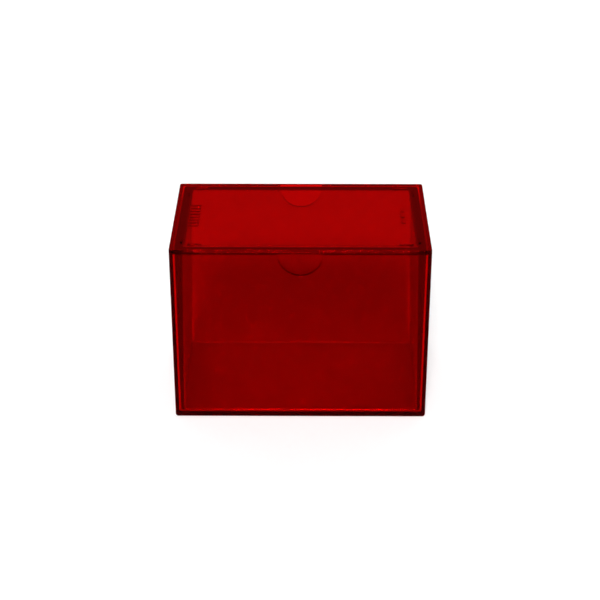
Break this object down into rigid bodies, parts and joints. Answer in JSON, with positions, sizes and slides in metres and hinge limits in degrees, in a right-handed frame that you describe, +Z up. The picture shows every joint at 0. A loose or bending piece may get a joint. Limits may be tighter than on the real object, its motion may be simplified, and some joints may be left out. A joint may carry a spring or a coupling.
{
  "type": "card deck box",
  "caption": "Two-piece see-through plastic box for a deck of sleeved cards: open base with thumb notches and a lift-off lid with a deep inner skirt.",
  "frame": {"origin": "middle of the base's underside, on the surface that the box stands on", "axes": "+Z up, the way the lid lifts; +X along the box's long side; the front notched wall faces -Y"},
  "size_m": [0.1036, 0.068, 0.0763],
  "materials": {
    "base_plastic": "polished, see-through deep red",
    "lid_plastic": "polished, see-through deep red"
  },
  "bodies": {
    "base": {"base_box": "base_plastic"},
    "lid": {"lid": "lid_plastic"}
  },
  "joints": [
    {"name": "lid_lift", "type": "slide", "parent": "base", "child": "lid", "axis": [0, 0, 1], "range_m": [0, 0.08]}
  ]
}
